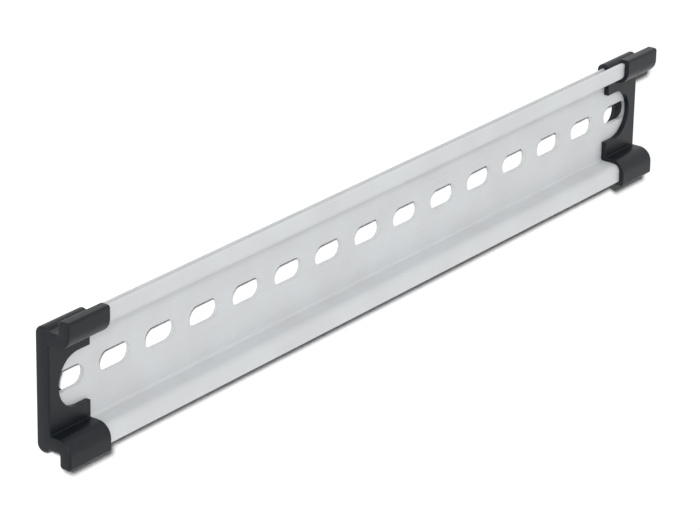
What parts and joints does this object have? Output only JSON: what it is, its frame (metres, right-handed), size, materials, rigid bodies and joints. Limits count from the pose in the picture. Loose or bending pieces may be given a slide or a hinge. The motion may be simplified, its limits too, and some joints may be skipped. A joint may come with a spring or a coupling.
{
  "type": "din rail",
  "caption": "Slotted top-hat mounting rail, 35 mm wide and 250 mm long, with a moulded black end piece pushed over each end.",
  "frame": {"origin": "middle of the surface that the rail lies on, at the backs of the two end pieces", "axes": "+X along the rail, +Y across it, +Z from the back to the front of the flanges"},
  "size_m": [0.25, 0.0374, 0.0102],
  "materials": {
    "rail_metal": "satin extruded aluminium, pale and even, with faint draw lines along the rail",
    "end_plastic": "moulded black plastic, fine matte texture with softened edges"
  },
  "bodies": {
    "root": {"rail": "rail_metal", "end_piece_left": "end_plastic", "end_piece_right": "end_plastic"}
  },
  "joints": []
}
